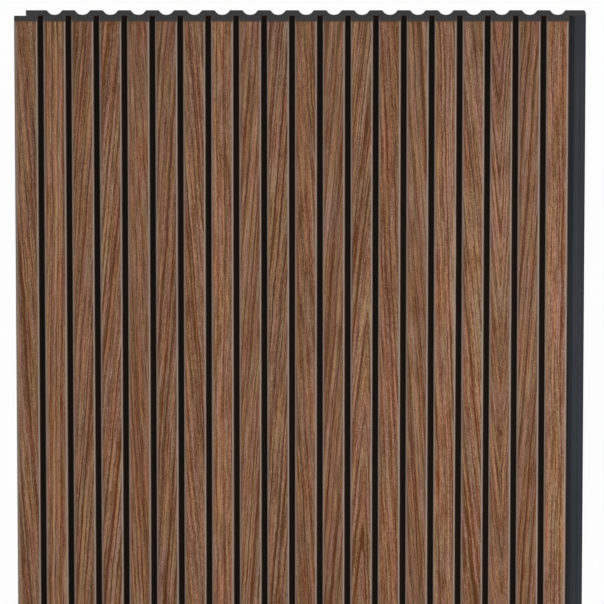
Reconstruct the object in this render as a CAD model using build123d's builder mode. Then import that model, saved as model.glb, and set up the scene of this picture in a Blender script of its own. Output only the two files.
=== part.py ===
"""Slat wall panel: one extruded dark core with raised slats, each slat wrapped in a wood-look film.

The section lies in the XY plane and is extruded upwards. X runs across the slats, +Y points
at the wall, and the slats face -Y. The origin is on the wall plane, at the middle of the slat
pattern and at the panel's lower end. All sizes are in millimetres.
"""

import os
from math import cos, radians, tan

from build123d import *

# Slats and grooves
SLAT_COUNT = 20
SLAT_PITCH = 30.0
GROOVE_WIDTH = 5.9
SLAT_HEIGHT = 10.4  # from the groove floor to the front of the film
EDGE_RADIUS = 2.0  # outside round along both long edges of a slat
GROOVE_FILLET = 0.8
FIRST_SLAT_EXTRA = 1.4  # the outer slat is this much wider, on its free side

# Back plate and length
PLATE_THICKNESS = 10.6
PANEL_LENGTH = 780.0

# Relief flutes along the back, one behind each slat that the plate fully carries
FLUTE_WIDTH = 16.8
FLUTE_DEPTH = 8.7
FLUTE_FLANK_ANGLE = 62.5  # degrees between the flute's flank and the wall
FLUTE_LIP_RADIUS = 0.6

# Lap joint: the tongue on the right goes behind the next panel's outer slat
LAP_WIDTH = 12.4
LAP_CLEARANCE = 2.6  # sideways, between the tongue's edge and the next panel's plate
LAP_SEAT_CLEARANCE = 0.3  # between the tongue's front and the back of the next panel's slat
JOINT_ANGLE = 13.0  # degrees that both meeting edges lean from square
TONGUE_LAND = 4.3  # square part of the tongue's edge, in front of its bevel

# Decor film
FILM_THICKNESS = 0.4
FILM_FLOOR_GAP = 0.4  # the film's long edges stop this far above the groove's fillet

# Derived sizes
SLAT_WIDTH = SLAT_PITCH - GROOVE_WIDTH
PLATE_FRONT = -PLATE_THICKNESS
CORE_FRONT = -(PLATE_THICKNESS + SLAT_HEIGHT - FILM_THICKNESS)
CORE_EDGE_RADIUS = EDGE_RADIUS - FILM_THICKNESS
TONGUE_THICKNESS = PLATE_THICKNESS - LAP_SEAT_CLEARANCE
JOINT_SLOPE = tan(radians(JOINT_ANGLE))


def slat_centre(index):
    """X of the middle of a slat, before the outer slat's extra width."""
    return (index - (SLAT_COUNT - 1) / 2) * SLAT_PITCH


def slat_edges(index):
    """X of a slat's left and right sides, outside its film."""
    left = slat_centre(index) - SLAT_WIDTH / 2
    if index == 0:
        left -= FIRST_SLAT_EXTRA
    return left, slat_centre(index) + SLAT_WIDTH / 2


def core_edges(index):
    """X of the left and right sides of a slat's core, inside its film."""
    left, right = slat_edges(index)
    return left + FILM_THICKNESS, right - FILM_THICKNESS


# Places across the panel that the lap joint sets
panel_left = slat_edges(0)[0]
last_slat_right = slat_edges(SLAT_COUNT - 1)[1]
plate_right = core_edges(SLAT_COUNT - 1)[1]
tongue_right = last_slat_right + GROOVE_WIDTH + LAP_WIDTH
tongue_back_right = tongue_right - (TONGUE_THICKNESS - TONGUE_LAND) * JOINT_SLOPE
plate_left = panel_left + LAP_WIDTH + LAP_CLEARANCE
plate_back_left = plate_left - PLATE_THICKNESS * JOINT_SLOPE

# A flute is a V whose point is rounded off until its depth is right
flute_point = FLUTE_WIDTH / 2 * tan(radians(FLUTE_FLANK_ANGLE))
flute_radius = (flute_point - FLUTE_DEPTH) / (1 / cos(radians(FLUTE_FLANK_ANGLE)) - 1)

os.makedirs("parts", exist_ok=True)

# Section of one flute, open to the wall
with BuildSketch(Plane.XY) as flute:
    with BuildLine():
        flanks = FilletPolyline(
            (-FLUTE_WIDTH / 2, 0),
            (0, -flute_point),
            (FLUTE_WIDTH / 2, 0),
            radius=flute_radius,
        )
        Line(flanks @ 1, flanks @ 0)
    make_face()

# Core: plate, tongue and slats in one extrusion
with BuildPart() as core:
    with BuildSketch(Plane.XY) as section:
        # Back plate, its left edge leaning out towards the wall
        with BuildLine():
            Polyline(
                (plate_back_left, 0),
                (plate_right, 0),
                (plate_right, PLATE_FRONT),
                (plate_left, PLATE_FRONT),
                close=True,
            )
        make_face()

        # Tongue, bevelled at its back corner to suit that lean
        with BuildLine():
            Polyline(
                (plate_right, 0),
                (tongue_back_right, 0),
                (tongue_right, TONGUE_LAND - TONGUE_THICKNESS),
                (tongue_right, -TONGUE_THICKNESS),
                (plate_right, -TONGUE_THICKNESS),
                close=True,
            )
        make_face()

        # Slats; the outer one overhangs the plate and forms the lap recess
        for index in range(SLAT_COUNT):
            left, right = core_edges(index)
            with Locations((left, CORE_FRONT)):
                Rectangle(right - left, PLATE_FRONT - CORE_FRONT, align=Align.MIN)

        # Flutes, behind every slat but the overhanging one
        with Locations([(slat_centre(index), 0) for index in range(1, SLAT_COUNT)]):
            add(flute.sketch, mode=Mode.SUBTRACT)

        # Rounds along the slats' front edges, the flutes' lips and the inside corners
        fillet(section.vertices().group_by(Axis.Y)[0], CORE_EDGE_RADIUS)
        wall_side = section.vertices().group_by(Axis.Y)[-1].sort_by(Axis.X)
        fillet(wall_side[1:-1], FLUTE_LIP_RADIUS)
        floors = section.vertices().filter_by_position(Axis.Y, PLATE_FRONT, -TONGUE_THICKNESS)
        fillet(floors.sort_by(Axis.X)[1:-1], GROOVE_FILLET)
    extrude(amount=PANEL_LENGTH)
core.part.label = "core_profile"
export_step(core.part, "parts/core_profile.step")

# Decor film: one thin cap over the front, edges and sides of each slat
film_back = PLATE_FRONT - GROOVE_FILLET - FILM_FLOOR_GAP
for index in range(SLAT_COUNT):
    left, right = core_edges(index)
    with BuildPart() as film:
        with BuildSketch(Plane.XY):
            with BuildLine():
                FilletPolyline(
                    (left, film_back),
                    (left, CORE_FRONT),
                    (right, CORE_FRONT),
                    (right, film_back),
                    radius=CORE_EDGE_RADIUS,
                )
                offset(amount=FILM_THICKNESS, side=Side.RIGHT)
            make_face()
        extrude(amount=PANEL_LENGTH)
    film.part.label = f"slat_film_{index + 1:02d}"
    export_step(film.part, f"parts/{film.part.label}.step")
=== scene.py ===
import math

import bpy
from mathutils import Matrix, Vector


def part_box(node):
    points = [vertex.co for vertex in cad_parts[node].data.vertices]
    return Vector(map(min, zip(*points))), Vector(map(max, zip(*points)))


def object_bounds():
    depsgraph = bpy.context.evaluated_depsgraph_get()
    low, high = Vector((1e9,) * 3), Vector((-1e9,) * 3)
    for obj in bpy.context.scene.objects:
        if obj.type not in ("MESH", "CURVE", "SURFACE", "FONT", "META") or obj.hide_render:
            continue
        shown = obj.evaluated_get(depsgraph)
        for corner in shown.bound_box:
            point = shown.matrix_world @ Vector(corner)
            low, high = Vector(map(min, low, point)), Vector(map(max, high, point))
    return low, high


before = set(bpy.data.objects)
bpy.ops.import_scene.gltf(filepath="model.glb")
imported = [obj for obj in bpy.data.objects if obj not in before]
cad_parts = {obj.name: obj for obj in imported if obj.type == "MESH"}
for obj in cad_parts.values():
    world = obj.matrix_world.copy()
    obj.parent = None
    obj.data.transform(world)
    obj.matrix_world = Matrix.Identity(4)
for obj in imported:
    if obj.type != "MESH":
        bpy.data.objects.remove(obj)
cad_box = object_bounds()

MM = 0.001
WHITE = (1.0, 1.0, 1.0, 1.0)
MIDDLE = 0.5  # of a noise's values, of a ramp and of the wood's tones

# Camera: in front of the panel and above it, far away
VIEW_ELEVATION = math.radians(34.78)
FRAME_WIDTH = 0.6525  # what the picture spans at the aim point
LENS = 1650.0
SENSOR = 36.0
CLIP_END = 200.0
AIM_RIGHT = 0.0106  # from the middle of the slat pattern
AIM_BELOW_TOP = 0.3668  # on the slats' front, down from the upper end
AIM = Vector((AIM_RIGHT, cad_box[0].y, cad_box[1].z - AIM_BELOW_TOP))

# One row for each lamp: its name, azimuth and elevation from the aim point in degrees, distance and size
# in metres, level, and whether it faces straight down. At level 1 a colour renders as it is written.
LAMPS = (
    ("key", 40, -4.4, 2.6, 0.38, 0.605, False),
    ("fill", -36, -4.4, 2.6, 0.38, 0.29, False),
    ("wash", 18, 12, 2.1, 0.6, 0.33, True),
    ("top", 180, 84, 5.0, 1.2, 0.36, False),
    ("back_right", 140, 15, 5.0, 1.8, 0.65, False),
    ("back_left", -125, 15, 5.0, 1.5, 0.455, False),
)
WORLD_LEVEL = 0.10

# Floor: grey in the light that it throws back, nearly white as the camera sees it
FLOOR_SIZE = 16.0
FLOOR_GREY = (0.38, 0.38, 0.38, 1.0)
FLOOR_PALE = (0.9, 0.9, 0.9, 1.0)
FLOOR_WHITE = 0.93  # share of plain white in what the camera sees

# Direction of the grain
LEAN_UNIT = 0.0082  # sideways run per length for one unit of lean
DRIFT = 9.0 * MM
DRIFT_SCALE = 4.0  # cycles per metre
WIGGLE = 1.6 * MM

# Grain that folds over: its lines lie closer to the right of the fold, and fade on it
FOLD_ROUND = 1.2 * MM
FOLD_REACH = 5.0 * MM
FOLD_STRENGTH = 0.45  # share of the lines' strength on the fold itself
FOLD_CLOSENESS = 1.35  # mean of both sides
FOLD_LOPSIDED = 0.35  # more on the right, less on the left

# Growth lines: their spacing, and the shade across one ring
RING_SPACING = 7.0 * MM
RING_UNEVENNESS = 1.6  # in spacings
RING_SHADE = (
    (0.00, 0.10),
    (0.05, 0.55),
    (0.18, 0.75),
    (0.45, 0.85),
    (0.72, 0.75),
    (0.86, 0.55),
    (0.95, 0.00),
    (1.00, 0.10),
)
RING_MEAN = 0.66

# Dark fibres stand out more than pale ones
FIBRE_SHADE = ((0.10, 0.00), (0.50, 0.529), (0.90, 0.78))

# Noises across the grain: cycles per metre, detail, roughness
UNEVEN_NOISE = (90.0, 2.0, 0.6)
FINE_LINE_NOISE = (400.0, 2.0, 0.6)
FINE_LINE_SEED = 3.0

# Noises drawn out along the grain: cycles per metre across it and along it, seed, detail
WIGGLE_NOISE = (60.0, 45.0, 43.0, 2.0)
FADING_NOISE = (150.0, 5.0, 0.0, 2.0)
FIBRE_NOISE = (700.0, 22.0, 0.0, 1.0)
DASH_NOISE = (1300.0, 130.0, 3.0, 1.0)
BROAD_SHADE_NOISE = (120.0, 3.0, 7.0, 2.0)
PEPPER_NOISE = (1000.0, 600.0, 11.0, 1.0)
PORE_NOISE = (1600.0, 350.0, 0.0, 1.0)
WARMTH_NOISE = (265.0, 11.0, 19.0, 0.0)
TINT_NOISE = (285.0, 12.0, 31.0, 0.0)

# What each adds to the wood's tone
FINE_LINE_WEIGHT = 1.07
FIBRE_WEIGHT = 1.4
DASH_WEIGHT = 0.7
BROAD_SHADE_WEIGHT = 0.75
PEPPER_WEIGHT = 1.0
PORE_WEIGHT = -0.22

# First and last value of a noise, and what each becomes
FADING_RANGE = (0.35, 0.65, 0.25, 1.0)
PORE_RANGE = (0.58, 0.70, 0.0, 1.0)
HIGH_RANGE = (0.50, 0.70, 0.0, 1.0)
LOW_RANGE = (0.50, 0.30, 0.0, 1.0)

# Walnut tones from darkest to lightest, as 8-bit display colours
WALNUT_TONES = (
    (0.00, (83, 44, 14)),
    (0.25, (103, 65, 39)),
    (0.50, (122, 86, 62)),
    (0.75, (142, 107, 82)),
    (1.00, (162, 127, 101)),
)

# Tints of the bands in the wood
WARM = (1.095, 0.973, 0.834, 1.0)
COOL = (0.957, 0.987, 1.138, 1.0)
OLIVE = (0.958, 1.05, 0.937, 1.0)
PURPLE = (1.042, 0.954, 1.063, 1.0)
WARMTH_UNIT = 0.07  # shift of the noise for one unit of warmth

# One row for each slat: lean of its grain, brightness, warmth, strength of its growth lines, and where
# the grain folds over: mm right of the slat's middle, and its run to the right over 1 mm of height
SLAT_FIGURE = (
    (7, 0.93, 0.3, 0.85, None),
    (-1, 1.08, 0.35, 1.0, None),
    (-8, 0.85, 1.0, 1.2, None),
    (-10, 1.005, -0.15, 1.15, None),
    (5, 1.00, 0.3, 0.55, None),
    (-7, 0.925, -0.25, 1.3, None),
    (7, 1.03, -0.35, 0.85, None),
    (0, 1.12, 0.15, 0.55, None),
    (-7, 1.0, -0.25, 0.7, None),
    (-8, 0.875, 0.1, 1.5, None),
    (5, 0.92, 1.35, 0.35, None),
    (-8, 0.905, 0.2, 0.95, None),
    (9, 1.035, -0.7, 1.2, (6.0, 0.013)),
    (5, 0.945, 1.7, 0.2, None),
    (7, 0.88, 0.6, 1.3, None),
    (3, 1.155, -0.65, 1.0, None),
    (10, 1.035, -0.85, 0.75, None),
    (-10, 1.01, -0.6, 1.2, (1.0, -0.008)),
    (-7, 0.905, -0.05, 0.9, None),
    (0, 1.185, -0.3, 0.5, None),
)
FIRST_SEED = 1.3
SEED_STEP = 3.7  # from one slat to the next

# Painted highlight and painted shade along the film's long edges, where the rounded edges catch the
# light, more on the right: shares by distance from the slat's side
EDGE_HIGHLIGHT_FILM = (152, 135, 124)
# Painted sheen: a cool grey tint inward of the right highlight
SHEEN_TINT = (0.86, 0.96, 1.10, 1.0)
RIGHT_WIDTH = 5.4 * MM
# Painted highlight on the right round
RIGHT_HIGHLIGHT = ((0.00, 0.00), (0.08, 0.40), (0.19, 1.00), (0.31, 0.95), (0.40, 0.22), (0.50, 0.00))
# Painted sheen, greying the film inward of the right highlight
RIGHT_SHEEN = ((0.36, 0.00), (0.46, 1.00), (0.56, 0.95), (0.70, 0.55), (0.85, 0.20), (1.00, 0.00))
# Painted shade on the outer part of the right round
RIGHT_SHADE = ((0.00, 0.30), (0.10, 0.55), (0.19, 1.00))
# Painted highlight on the left round, fainter than on the right
LEFT_HIGHLIGHT = ((0.00, 0.80), (0.12, 1.00), (0.22, 0.95), (0.34, 0.35), (0.60, 0.10), (1.00, 0.00))
# Painted shade: a darker band inward of the left highlight
LEFT_SHADE = ((0.32, 1.00), (0.55, 0.83), (0.88, 0.83), (1.00, 1.00))
LEFT_EDGE = (3.6 * MM, EDGE_HIGHLIGHT_FILM)  # width and colour
# The outer slat's painted highlight on its left edge: wider and dimmer, as that side is not in a groove
OUTER_LEFT_EDGE = (7.0 * MM, (136, 120, 108))
ROUND_RANGE = (1.8 * MM, 3.6 * MM, 1.0, 0.2)  # depth behind the slat's front, and share of shade there

# Film beside the sawn ends
CUT_EDGE = (66, 52, 43)
CUT_WIDTH = 3.0 * MM
CUT_SHADE = ((0.00, 0.75), (0.30, 0.45), (0.60, 0.15), (1.00, 0.00))

# Finish of the film: the darker the wood, the rougher, by tone and then roughness
FILM_ROUGHNESS = (0.2, 0.8, 0.58, 0.46)
FILM_SPECULAR = 0.15
FILM_BUMP = 0.05 * MM

# Core: dark, middle and light shades of a face, and where they stand among a noise's values
DRAWN_SHADES = ((38, 42, 47), (47, 51, 56), (56, 59, 64))
# Painted shade: the grooves' floors take a darker, warmer colour
GROOVE_PAINTED_SHADES = ((44, 36, 30), (51, 42, 35), (57, 48, 41))
SAWN_SHADES = ((52, 52, 53), (60, 60, 61), (67, 67, 68))
SHADE_STOPS = (0.32, 0.50, 0.68)
END_FACING = (0.5, 0.8, 0.0, 1.0)  # the normal's upright part, and share of sawn end
ROOM_FACING = (-0.3, 0.1, 1.0, 0.0)  # the normal's part towards the wall, and share facing the room

# Noises of the core: scale, detail, roughness; two see a share of the height, which draws them out
DIE_LINE_NOISE = (300.0, 3.0, 0.7)
DIE_LINE_DRAW = 0.004
DUST_NOISE = (34.0, 4.0, 0.6)
DUST_DRAW = 0.12
DUST_SHADE = ((0.30, 0.86), (0.50, 1.00), (0.72, 1.16))
SPECK_NOISE = (1500.0, 3.0, 0.65)

# Tongue: painted shadow across it from the last slat, then a lighter strip, and painted light and shade
# of fine drawn ribs that its shape doesn't have
TONGUE_SHADE = ((0.00, 1.00), (0.02, 0.58), (0.26, 0.62), (0.38, 1.04), (0.45, 1.04), (0.54, 0.82))
TONGUE_GROOVE = 4.5 * MM  # part of it beside the last slat that takes the grooves' painted shade
RIB_SPACING = 2.16 * MM
RIB_RANGE = (0.45, 0.60, 0.0, 0.18)  # share of the tongue's width, and strength of the ribs' painted shading

# Sawn ends, browner beside the film
BROWNED = (66, 57, 51)
BROWNED_DEPTH = 5.0 * MM
BROWNED_SHARE = 0.6

# Finish of the core
DRAWN_ROUGHNESS = 0.62
SAWN_ROUGHNESS = 0.85
CORE_SPECULAR = 0.10
CORE_BUMP = 0.06 * MM
DIE_LINE_RELIEF = 0.35
BUMP_STRENGTH = 0.6


def linear(colour, gain=1.0):
    """Scene-linear RGBA of an 8-bit display colour, by the sRGB curve."""
    made = []
    for part in colour:
        share = part / 255
        made.append(gain * (share / 12.92 if share <= 0.04045 else ((share + 0.055) / 1.055) ** 2.4))
    return (*made, 1.0)


class Graph:
    """The node tree of a material or a world, with short calls for the nodes used here."""

    def __init__(self, owner):
        owner.use_nodes = True
        self.tree = owner.node_tree
        self.tree.nodes.clear()

    def add(self, kind, sockets=None, **settings):
        """A node with its settings, its sockets linked or set to plain values."""
        node = self.tree.nodes.new(kind)
        for name, value in settings.items():
            setattr(node, name, value)
        for name, value in (sockets or {}).items():
            if isinstance(value, bpy.types.NodeSocket):
                self.tree.links.new(value, node.inputs[name])
            else:
                node.inputs[name].default_value = value
        return node

    def math(self, operation, *values):
        return self.add("ShaderNodeMath", dict(enumerate(values)), operation=operation).outputs[0]

    def vector(self, x, y, z):
        return self.add("ShaderNodeCombineXYZ", {0: x, 1: y, 2: z}).outputs[0]

    def split(self, vector):
        return self.add("ShaderNodeSeparateXYZ", {0: vector}).outputs

    def noise(self, vector, scale, detail=2.0, roughness=0.5):
        sockets = {"Vector": vector, "Scale": scale, "Detail": detail, "Roughness": roughness}
        return self.add("ShaderNodeTexNoise", sockets).outputs["Fac"]

    def line_noise(self, position, scale, detail, roughness):
        sockets = {"W": position, "Scale": scale, "Detail": detail, "Roughness": roughness}
        return self.add("ShaderNodeTexNoise", sockets, noise_dimensions="1D").outputs["Fac"]

    def along(self, grain, height, slat_seed, noise):
        """Noise drawn out along the grain, by a row of the values above."""
        across_scale, length_scale, seed, detail = noise
        across = self.math("MULTIPLY", grain, across_scale)
        length = self.math("MULTIPLY", height, length_scale)
        return self.noise(self.vector(across, slat_seed + seed, length), 1.0, detail)

    def add_noise(self, base, noise, weight):
        """The base, moved by a noise's distance from its middle times a weight."""
        return self.math("MULTIPLY_ADD", self.math("SUBTRACT", noise, MIDDLE), weight, base)

    def ramp(self, value, stops):
        node = self.add("ShaderNodeValToRGB", {"Fac": value})
        elements = node.color_ramp.elements
        while len(elements) < len(stops):
            elements.new(MIDDLE)
        for element, (position, colour) in zip(elements, stops):
            element.position = position
            element.color = colour
        return node.outputs["Color"]

    def grey_ramp(self, value, stops):
        return self.ramp(value, [(position, (grey, grey, grey, 1.0)) for position, grey in stops])

    def remap(self, value, from_low, from_high, to_low, to_high):
        limits = {"From Min": from_low, "From Max": from_high, "To Min": to_low, "To Max": to_high}
        return self.add("ShaderNodeMapRange", {"Value": value, **limits}).outputs[0]

    def mix(self, factor, first, second, blend="MIX"):
        sockets = {0: factor, 6: first, 7: second}  # the node's factor and its two colours
        return self.add("ShaderNodeMix", sockets, data_type="RGBA", blend_type=blend).outputs[2]

    def mix_shaders(self, factor, first, second):
        return self.add("ShaderNodeMixShader", {0: factor, 1: first.outputs[0], 2: second.outputs[0]})

    def surface(self, colour, roughness, specular, relief, bump_distance):
        bump = {"Height": relief, "Distance": bump_distance, "Strength": BUMP_STRENGTH}
        finish = {
            "Base Color": colour,
            "Roughness": roughness,
            "Specular IOR Level": specular,
            "Normal": self.add("ShaderNodeBump", bump).outputs[0],
        }
        shader = self.add("ShaderNodeBsdfPrincipled", finish)
        self.add("ShaderNodeOutputMaterial", {"Surface": shader.outputs[0]})


class SlatPlace:
    """Where a point of one slat's film lies, in metres from the slat's middle, front, sides and ends."""

    def __init__(self, graph, low, high):
        x, y, z = graph.split(graph.add("ShaderNodeTexCoord").outputs["Object"])
        self.across = graph.math("SUBTRACT", x, (low.x + high.x) / 2)
        self.height = graph.math("SUBTRACT", z, (low.z + high.z) / 2)
        self.depth = graph.math("SUBTRACT", y, low.y)
        self.from_left = graph.math("SUBTRACT", x, low.x)
        self.from_right = graph.math("SUBTRACT", high.x, x)
        from_upper = graph.math("SUBTRACT", high.z, z)
        from_lower = graph.math("SUBTRACT", z, low.z)
        self.from_end = graph.math("MINIMUM", from_upper, from_lower)

        # Distance from the middle, measured round the film's long edges
        side = graph.math("SIGN", self.across)
        self.round_film = graph.math("MULTIPLY_ADD", side, self.depth, self.across)


def grain_lines(graph, place, seed, lean, line_strength, fold):
    """Distances across the growth lines and across the fine marks, and the strength of the lines."""
    drift = graph.noise(graph.vector(seed, place.across, place.height), DRIFT_SCALE)
    wiggle = graph.along(place.across, place.height, seed, WIGGLE_NOISE)
    sway = graph.add_noise(graph.add_noise(0.0, drift, DRIFT), wiggle, WIGGLE)
    slope = lean * LEAN_UNIT
    if fold is None:
        leaning = graph.math("MULTIPLY_ADD", place.height, slope, place.round_film)
        grain = graph.math("ADD", leaning, sway)
        return grain, grain, line_strength

    # The lines turn back at the fold, and the fine marks run straight through it
    fold_right, fold_slope = fold
    marks = graph.math("ADD", place.round_film, sway)
    fold_line = graph.math("MULTIPLY_ADD", place.height, fold_slope, fold_right * MM)
    offset = graph.math("SUBTRACT", marks, fold_line)
    from_fold = graph.math("SQRT", graph.math("MULTIPLY_ADD", offset, offset, FOLD_ROUND ** 2))
    lopsided = graph.math("MULTIPLY", offset, FOLD_LOPSIDED)
    folded = graph.math("MULTIPLY_ADD", from_fold, FOLD_CLOSENESS, lopsided)
    grain = graph.math("ADD", graph.math("MULTIPLY_ADD", place.height, slope, folded), sway)
    on_fold = FOLD_STRENGTH * line_strength
    strength = graph.remap(from_fold, FOLD_ROUND, FOLD_REACH, on_fold, line_strength)
    return grain, marks, strength


def wood_tone(graph, height, grain, marks, strength, seed):
    """Tone of the wood, from 0 for the darkest to 1 for the lightest."""
    # Growth lines, unevenly spaced, which fade in and out
    spot = graph.math("ADD", grain, seed)
    uneven = graph.line_noise(spot, *UNEVEN_NOISE)
    even_turns = graph.math("DIVIDE", grain, RING_SPACING)
    turns = graph.math("MULTIPLY_ADD", uneven, RING_UNEVENNESS, even_turns)
    ring = graph.grey_ramp(graph.math("FRACT", turns), RING_SHADE)
    fading = graph.remap(graph.along(grain, height, seed, FADING_NOISE), *FADING_RANGE)
    lines = graph.math("MULTIPLY", graph.math("SUBTRACT", ring, RING_MEAN), fading)
    tone = graph.math("MULTIPLY_ADD", lines, strength, MIDDLE)

    # Fine lines, fibres and broad shades along the grain, with dashes and pores among them
    fine_line = graph.line_noise(graph.math("ADD", spot, FINE_LINE_SEED), *FINE_LINE_NOISE)
    fibre = graph.along(grain, height, seed, FIBRE_NOISE)
    broad_shade = graph.along(grain, height, seed, BROAD_SHADE_NOISE)
    tone = graph.add_noise(tone, graph.grey_ramp(fine_line, FIBRE_SHADE), FINE_LINE_WEIGHT)
    tone = graph.add_noise(tone, graph.grey_ramp(fibre, FIBRE_SHADE), FIBRE_WEIGHT)
    tone = graph.add_noise(tone, graph.along(marks, height, seed, DASH_NOISE), DASH_WEIGHT)
    tone = graph.add_noise(tone, broad_shade, BROAD_SHADE_WEIGHT)
    tone = graph.add_noise(tone, graph.along(marks, height, seed, PEPPER_NOISE), PEPPER_WEIGHT)
    pore = graph.remap(graph.along(marks, height, seed, PORE_NOISE), *PORE_RANGE)
    return graph.math("MULTIPLY_ADD", pore, PORE_WEIGHT, tone)


def banded(graph, colour, height, grain, seed, warmth):
    """The colour with warm and cool bands, and olive and purple ones."""
    hue = graph.math("ADD", graph.along(grain, height, seed, WARMTH_NOISE), WARMTH_UNIT * warmth)
    tint = graph.along(grain, height, seed, TINT_NOISE)
    for noise, high_tint, low_tint in ((hue, WARM, COOL), (tint, OLIVE, PURPLE)):
        colour = graph.mix(graph.remap(noise, *HIGH_RANGE), colour, high_tint, "MULTIPLY")
        colour = graph.mix(graph.remap(noise, *LOW_RANGE), colour, low_tint, "MULTIPLY")
    return colour


def film_edges(graph, colour, place, left_width, left_highlight):
    """The colour with a painted highlight, painted sheen and painted shade along both long edges, and
    darker beside the sawn ends.
    """
    from_right = graph.math("DIVIDE", place.from_right, RIGHT_WIDTH)
    from_left = graph.math("DIVIDE", place.from_left, left_width)
    from_end = graph.math("DIVIDE", place.from_end, CUT_WIDTH)
    on_round = graph.remap(place.depth, *ROUND_RANGE)
    # Painted highlight along the left edge, on the round only
    left_highlight_share = graph.math("MULTIPLY", graph.grey_ramp(from_left, LEFT_HIGHLIGHT), on_round)
    # Painted sheen and painted highlight along the right edge
    colour = graph.mix(graph.grey_ramp(from_right, RIGHT_SHEEN), colour, SHEEN_TINT, "MULTIPLY")
    colour = graph.mix(graph.grey_ramp(from_right, RIGHT_HIGHLIGHT), colour, linear(EDGE_HIGHLIGHT_FILM))
    # Painted shade inward of the left edge, then the painted highlight on it
    colour = graph.mix(on_round, colour, graph.grey_ramp(from_left, LEFT_SHADE), "MULTIPLY")
    colour = graph.mix(left_highlight_share, colour, linear(left_highlight))
    # Painted shade on the outer part of the right round
    colour = graph.mix(on_round, colour, graph.grey_ramp(from_right, RIGHT_SHADE), "MULTIPLY")
    return graph.mix(graph.grey_ramp(from_end, CUT_SHADE), colour, linear(CUT_EDGE))


def walnut(name, low, high, seed, figure, left_edge):
    """Printed walnut on one slat: leaning growth lines, with fine fibres along them."""
    lean, brightness, warmth, line_strength, fold = figure
    material = bpy.data.materials.new(name)
    graph = Graph(material)
    place = SlatPlace(graph, low, high)
    grain, marks, strength = grain_lines(graph, place, seed, lean, line_strength, fold)
    tone = wood_tone(graph, place.height, grain, marks, strength, seed)
    colour = graph.ramp(tone, [(stop, linear(shade, brightness)) for stop, shade in WALNUT_TONES])
    colour = banded(graph, colour, place.height, grain, seed, warmth)
    colour = film_edges(graph, colour, place, *left_edge)
    graph.surface(colour, graph.remap(tone, *FILM_ROUGHNESS), FILM_SPECULAR, tone, FILM_BUMP)
    return material


def shaded(graph, noise, shades):
    """Dark, middle and light shades of one face, laid out by a noise."""
    return graph.ramp(noise, [(stop, linear(shade)) for stop, shade in zip(SHADE_STOPS, shades)])


def drawn_out(graph, place, draw, noise):
    """Noise drawn out along the panel's length."""
    x, y, z = place
    return graph.noise(graph.vector(x, y, graph.math("MULTIPLY", z, draw)), *noise)


def drawn_faces(graph, place, to_room, die_lines, tongue_left):
    """Colour of the core's drawn faces: painted shade, darker and warmer, in the grooves, and a tongue
    with a painted shadow and the painted shading of fine ribs.
    """
    x = place["X"]
    # Painted shade: the grooves' darker, warmer colour, running onto the tongue beside the last slat
    in_groove = graph.remap(x, tongue_left, tongue_left + TONGUE_GROOVE, 1.0, 0.0)
    groove = graph.math("MULTIPLY", in_groove, to_room)
    colour = graph.mix(
        groove, shaded(graph, die_lines, DRAWN_SHADES), shaded(graph, die_lines, GROOVE_PAINTED_SHADES)
    )
    # Painted shadow of the last slat across the tongue, and painted light and shade of fine ribs
    tongue_width = cad_box[1].x - tongue_left
    from_slat = graph.math("DIVIDE", graph.math("SUBTRACT", x, tongue_left), tongue_width)
    ribs = graph.math("SINE", graph.math("MULTIPLY", x, math.tau / RIB_SPACING))
    ribbed = graph.math("MULTIPLY", graph.remap(from_slat, *RIB_RANGE), to_room)
    on_tongue = graph.math("MULTIPLY_ADD", ribs, ribbed, graph.grey_ramp(from_slat, TONGUE_SHADE))
    colour = graph.mix(to_room, colour, on_tongue, "MULTIPLY")
    dust = drawn_out(graph, place, DUST_DRAW, DUST_NOISE)
    return graph.mix(1.0, colour, graph.grey_ramp(dust, DUST_SHADE), "MULTIPLY")


def sawn_ends(graph, place, speck, front):
    """Colour of the core's sawn ends, browner beside the film."""
    browned = graph.remap(place["Y"], front, front + BROWNED_DEPTH, BROWNED_SHARE, 0.0)
    return graph.mix(browned, shaded(graph, speck, SAWN_SHADES), linear(BROWNED))


def core_plastic(tongue_left, front):
    """Dark foamed core: drawn faces with faint die lines, and paler sawn ends."""
    material = bpy.data.materials.new("core_plastic")
    graph = Graph(material)
    coords = graph.add("ShaderNodeTexCoord").outputs
    place = graph.split(coords["Object"])
    facing = graph.split(coords["Normal"])
    end = graph.remap(graph.math("ABSOLUTE", facing["Z"]), *END_FACING)
    to_room = graph.remap(facing["Y"], *ROOM_FACING)
    die_lines = drawn_out(graph, place, DIE_LINE_DRAW, DIE_LINE_NOISE)
    speck = graph.noise(coords["Object"], *SPECK_NOISE)
    drawn = drawn_faces(graph, place, to_room, die_lines, tongue_left)
    colour = graph.mix(end, drawn, sawn_ends(graph, place, speck, front))
    roughness = graph.remap(end, 0.0, 1.0, DRAWN_ROUGHNESS, SAWN_ROUGHNESS)
    line_relief = graph.math("MULTIPLY", die_lines, DIE_LINE_RELIEF)
    relief = graph.math("MULTIPLY_ADD", end, speck, line_relief)
    graph.surface(colour, roughness, CORE_SPECULAR, relief, CORE_BUMP)
    return material


def dress():
    """Gives each node of the panel its material."""
    last_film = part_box(f"slat_film_{len(SLAT_FIGURE):02d}")[1]
    core = core_plastic(last_film.x, cad_box[0].y)
    for name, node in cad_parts.items():
        material = core
        if name.startswith("slat_film_"):
            number = name[-2:]
            index = int(number) - 1
            low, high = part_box(name)
            seed = SEED_STEP * index + FIRST_SEED
            # The outer slat's left edge gets its own painted highlight
            left_edge = LEFT_EDGE if index else OUTER_LEFT_EDGE
            material = walnut(f"walnut_{number}", low, high, seed, SLAT_FIGURE[index], left_edge)
        for slot in node.material_slots:
            slot.material = material


def white_to_view(graph):
    """1 for rays that look at the background, 0 for those that light the panel."""
    path = graph.add("ShaderNodeLightPath").outputs
    looking = graph.math("MAXIMUM", path["Is Camera Ray"], path["Is Glossy Ray"])
    return graph.math("MAXIMUM", looking, path["Is Transmission Ray"])


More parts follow.
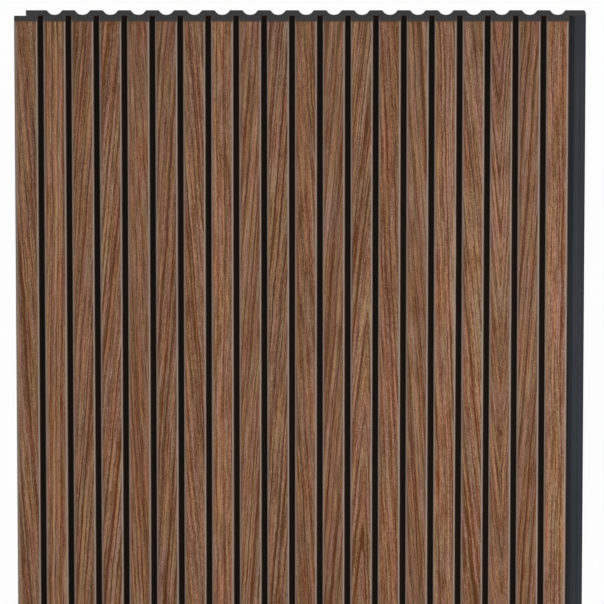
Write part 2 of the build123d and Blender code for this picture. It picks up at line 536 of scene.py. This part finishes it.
def make_floor():
    """A plain pale floor."""
    bpy.ops.mesh.primitive_plane_add(size=FLOOR_SIZE)
    floor = bpy.context.object
    floor.name = "floor"
    material = bpy.data.materials.new("floor")
    graph = Graph(material)
    grey = graph.add("ShaderNodeBsdfDiffuse", {"Color": FLOOR_GREY})
    pale = graph.add("ShaderNodeBsdfDiffuse", {"Color": FLOOR_PALE})
    white = graph.add("ShaderNodeEmission", {"Color": WHITE, "Strength": 1.0})
    seen = graph.mix_shaders(FLOOR_WHITE, pale, white)
    both = graph.mix_shaders(white_to_view(graph), grey, seen)
    graph.add("ShaderNodeOutputMaterial", {"Surface": both.outputs[0]})
    floor.data.materials.append(material)


def make_world():
    """Plain white to look at, and a faint even light on the panel."""
    world = bpy.data.worlds.new("studio")
    bpy.context.scene.world = world
    graph = Graph(world)
    faint = graph.add("ShaderNodeBackground", {"Color": WHITE, "Strength": WORLD_LEVEL})
    white = graph.add("ShaderNodeBackground", {"Color": WHITE, "Strength": 1.0})
    both = graph.mix_shaders(white_to_view(graph), faint, white)
    graph.add("ShaderNodeOutputWorld", {"Surface": both.outputs[0]})


def softbox(name, azimuth, elevation, distance, size, level, faces_floor):
    """A square lamp; level is its share of full light at the aim point, on a surface facing it."""
    turn = math.radians(azimuth)
    rise = math.radians(elevation)
    away = Vector((math.sin(turn) * math.cos(rise), -math.cos(turn) * math.cos(rise), math.sin(rise)))
    data = bpy.data.lights.new(name, "AREA")
    data.shape = "SQUARE"
    data.size = size
    data.energy = level * math.pi ** 2 * distance ** 2
    lamp = bpy.data.objects.new(name, data)
    bpy.context.scene.collection.objects.link(lamp)
    lamp.location = AIM + away * distance
    if not faces_floor:
        lamp.rotation_euler = (-away).to_track_quat("-Z", "Y").to_euler()
    lamp.visible_camera = False


def make_camera():
    """A long lens, far enough away for the frame's width."""
    data = bpy.data.cameras.new("camera")
    data.lens = LENS
    data.sensor_width = SENSOR
    data.clip_end = CLIP_END
    camera = bpy.data.objects.new("camera", data)
    bpy.context.scene.collection.objects.link(camera)
    back = Vector((0.0, -math.cos(VIEW_ELEVATION), math.sin(VIEW_ELEVATION)))
    camera.location = AIM + back * (FRAME_WIDTH * LENS / SENSOR)
    camera.rotation_euler = (-back).to_track_quat("-Z", "Y").to_euler()
    bpy.context.scene.camera = camera


dress()
make_floor()
make_world()
for lamp_row in LAMPS:
    softbox(*lamp_row)
make_camera()
bpy.context.scene.view_settings.view_transform = "Standard"
